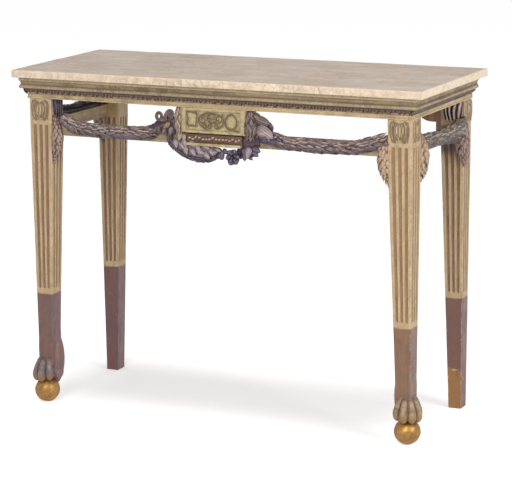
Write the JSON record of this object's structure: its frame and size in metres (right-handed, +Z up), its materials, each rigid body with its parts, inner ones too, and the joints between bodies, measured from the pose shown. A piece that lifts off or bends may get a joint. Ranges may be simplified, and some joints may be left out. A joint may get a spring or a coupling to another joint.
{
  "type": "pier table",
  "caption": "Pier table with a loose marble slab on a painted frame, fluted tapered legs, carved laurel garlands under the frieze and front paw feet on balls.",
  "frame": {"origin": "on the floor under the centre of the marble slab", "axes": "+X along the length to the right as seen from the front, +Y from the front to the wall, +Z up"},
  "size_m": [1.144, 0.476, 0.9],
  "materials": {
    "marble": "polished",
    "cream_paint": "worn cream paint",
    "bronzed_carving": "dark bronzed and silvered carving",
    "gilding": "worn gilding",
    "bare_wood": "unpainted"
  },
  "bodies": {
    "frame": {"back_bracket": "bare_wood", "ball_foot_left": "gilding", "ball_foot_right": "gilding", "bearer_left": "bare_wood", "bearer_right": "bare_wood", "corner_blocks": "bare_wood", "cornice_front": "cream_paint", "cornice_left": "cream_paint", "cornice_right": "cream_paint", "drop_flower": "bronzed_carving", "drop_front_left": "bronzed_carving", "drop_front_right": "bronzed_carving", "drop_left_aft": "bronzed_carving", "drop_left_fore": "bronzed_carving", "drop_right_aft": "bronzed_carving", "drop_right_fore": "bronzed_carving", "fascia_front": "cream_paint", "fascia_left": "cream_paint", "fascia_right": "cream_paint", "festoon": "bronzed_carving", "foot_dowels": "bare_wood", "frieze_rail_back": "bare_wood", "frieze_rail_front": "cream_paint", "frieze_rail_left": "cream_paint", "frieze_rail_right": "cream_paint", "garland_front_left": "bronzed_carving", "garland_front_right": "bronzed_carving", "garland_left": "bronzed_carving", "garland_right": "bronzed_carving", "leaf_moulding_front": "bronzed_carving", "leaf_moulding_left": "bronzed_carving", "leaf_moulding_right": "bronzed_carving", "leaf_sprig": "bronzed_carving", "leg_back_left": "cream_paint", "leg_back_right": "cream_paint", "leg_front_left": "cream_paint", "leg_front_right": "cream_paint", "patera_left_front": "cream_paint", "patera_left_side": "cream_paint", "patera_right_front": "cream_paint", "patera_right_side": "cream_paint", "paw_left": "bronzed_carving", "paw_right": "bronzed_carving", "ribbon_bunch_left": "bronzed_carving", "ribbon_bunch_right": "bronzed_carving", "ribbon_front_left": "bronzed_carving", "ribbon_front_right": "bronzed_carving", "ribbon_left_aft": "bronzed_carving", "ribbon_left_fore": "bronzed_carving", "ribbon_right_aft": "bronzed_carving", "ribbon_right_fore": "bronzed_carving", "swag_rail_front": "cream_paint", "swag_rail_left": "cream_paint", "swag_rail_right": "cream_paint", "tablet_base": "cream_paint", "tablet_block": "cream_paint", "tablet_carving": "cream_paint", "tablet_leaf_strip": "bronzed_carving", "tenon_pegs": "bare_wood"},
    "top": {"marble_top": "marble"}
  },
  "joints": [
    {"name": "top_lift", "type": "slide", "parent": "frame", "child": "top", "axis": [0, 0, 1], "range_m": [0, 0.1]}
  ]
}
